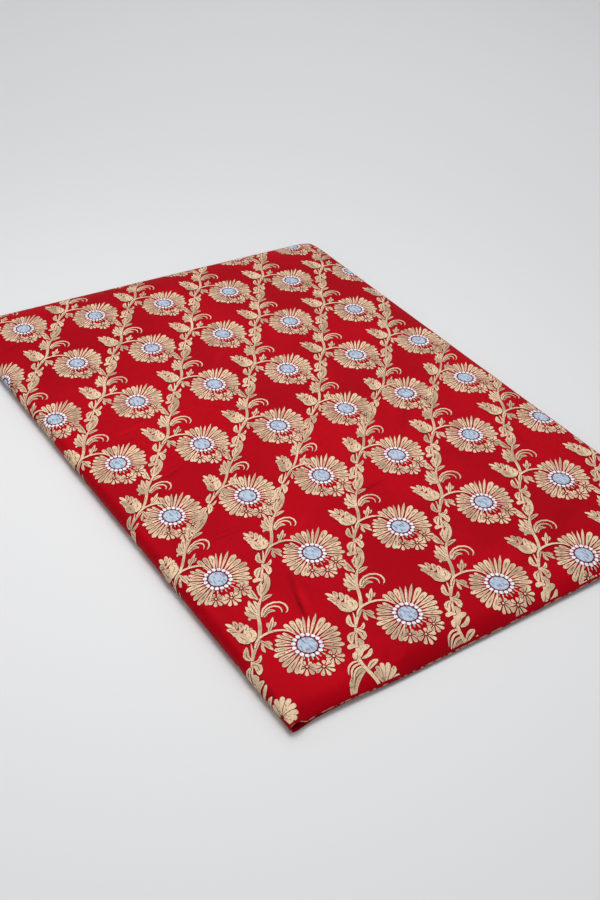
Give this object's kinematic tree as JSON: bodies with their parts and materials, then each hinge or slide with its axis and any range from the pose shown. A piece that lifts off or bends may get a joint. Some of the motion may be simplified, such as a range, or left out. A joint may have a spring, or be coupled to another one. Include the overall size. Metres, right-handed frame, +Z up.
{
  "type": "folded silk brocade fabric",
  "caption": "Length of red silk brocade with gold flowers on climbing vines, folded back and forth into a flat pile with one wrapped side.",
  "frame": {"origin": "centre of the pile's bounding box, on the surface that it rests on", "axes": "+Z up; +Y along the pile from its front selvedges to its back ones; +X across it from the wrapped side to the free ends"},
  "size_m": [0.3601, 0.4923, 0.0128],
  "materials": {
    "silk_brocade": "satin",
    "gold_brocade": "matt",
    "blue_brocade": "matt",
    "white_brocade": "matt"
  },
  "bodies": {
    "root": {"silk_cloth": "silk_brocade"}
  },
  "joints": []
}
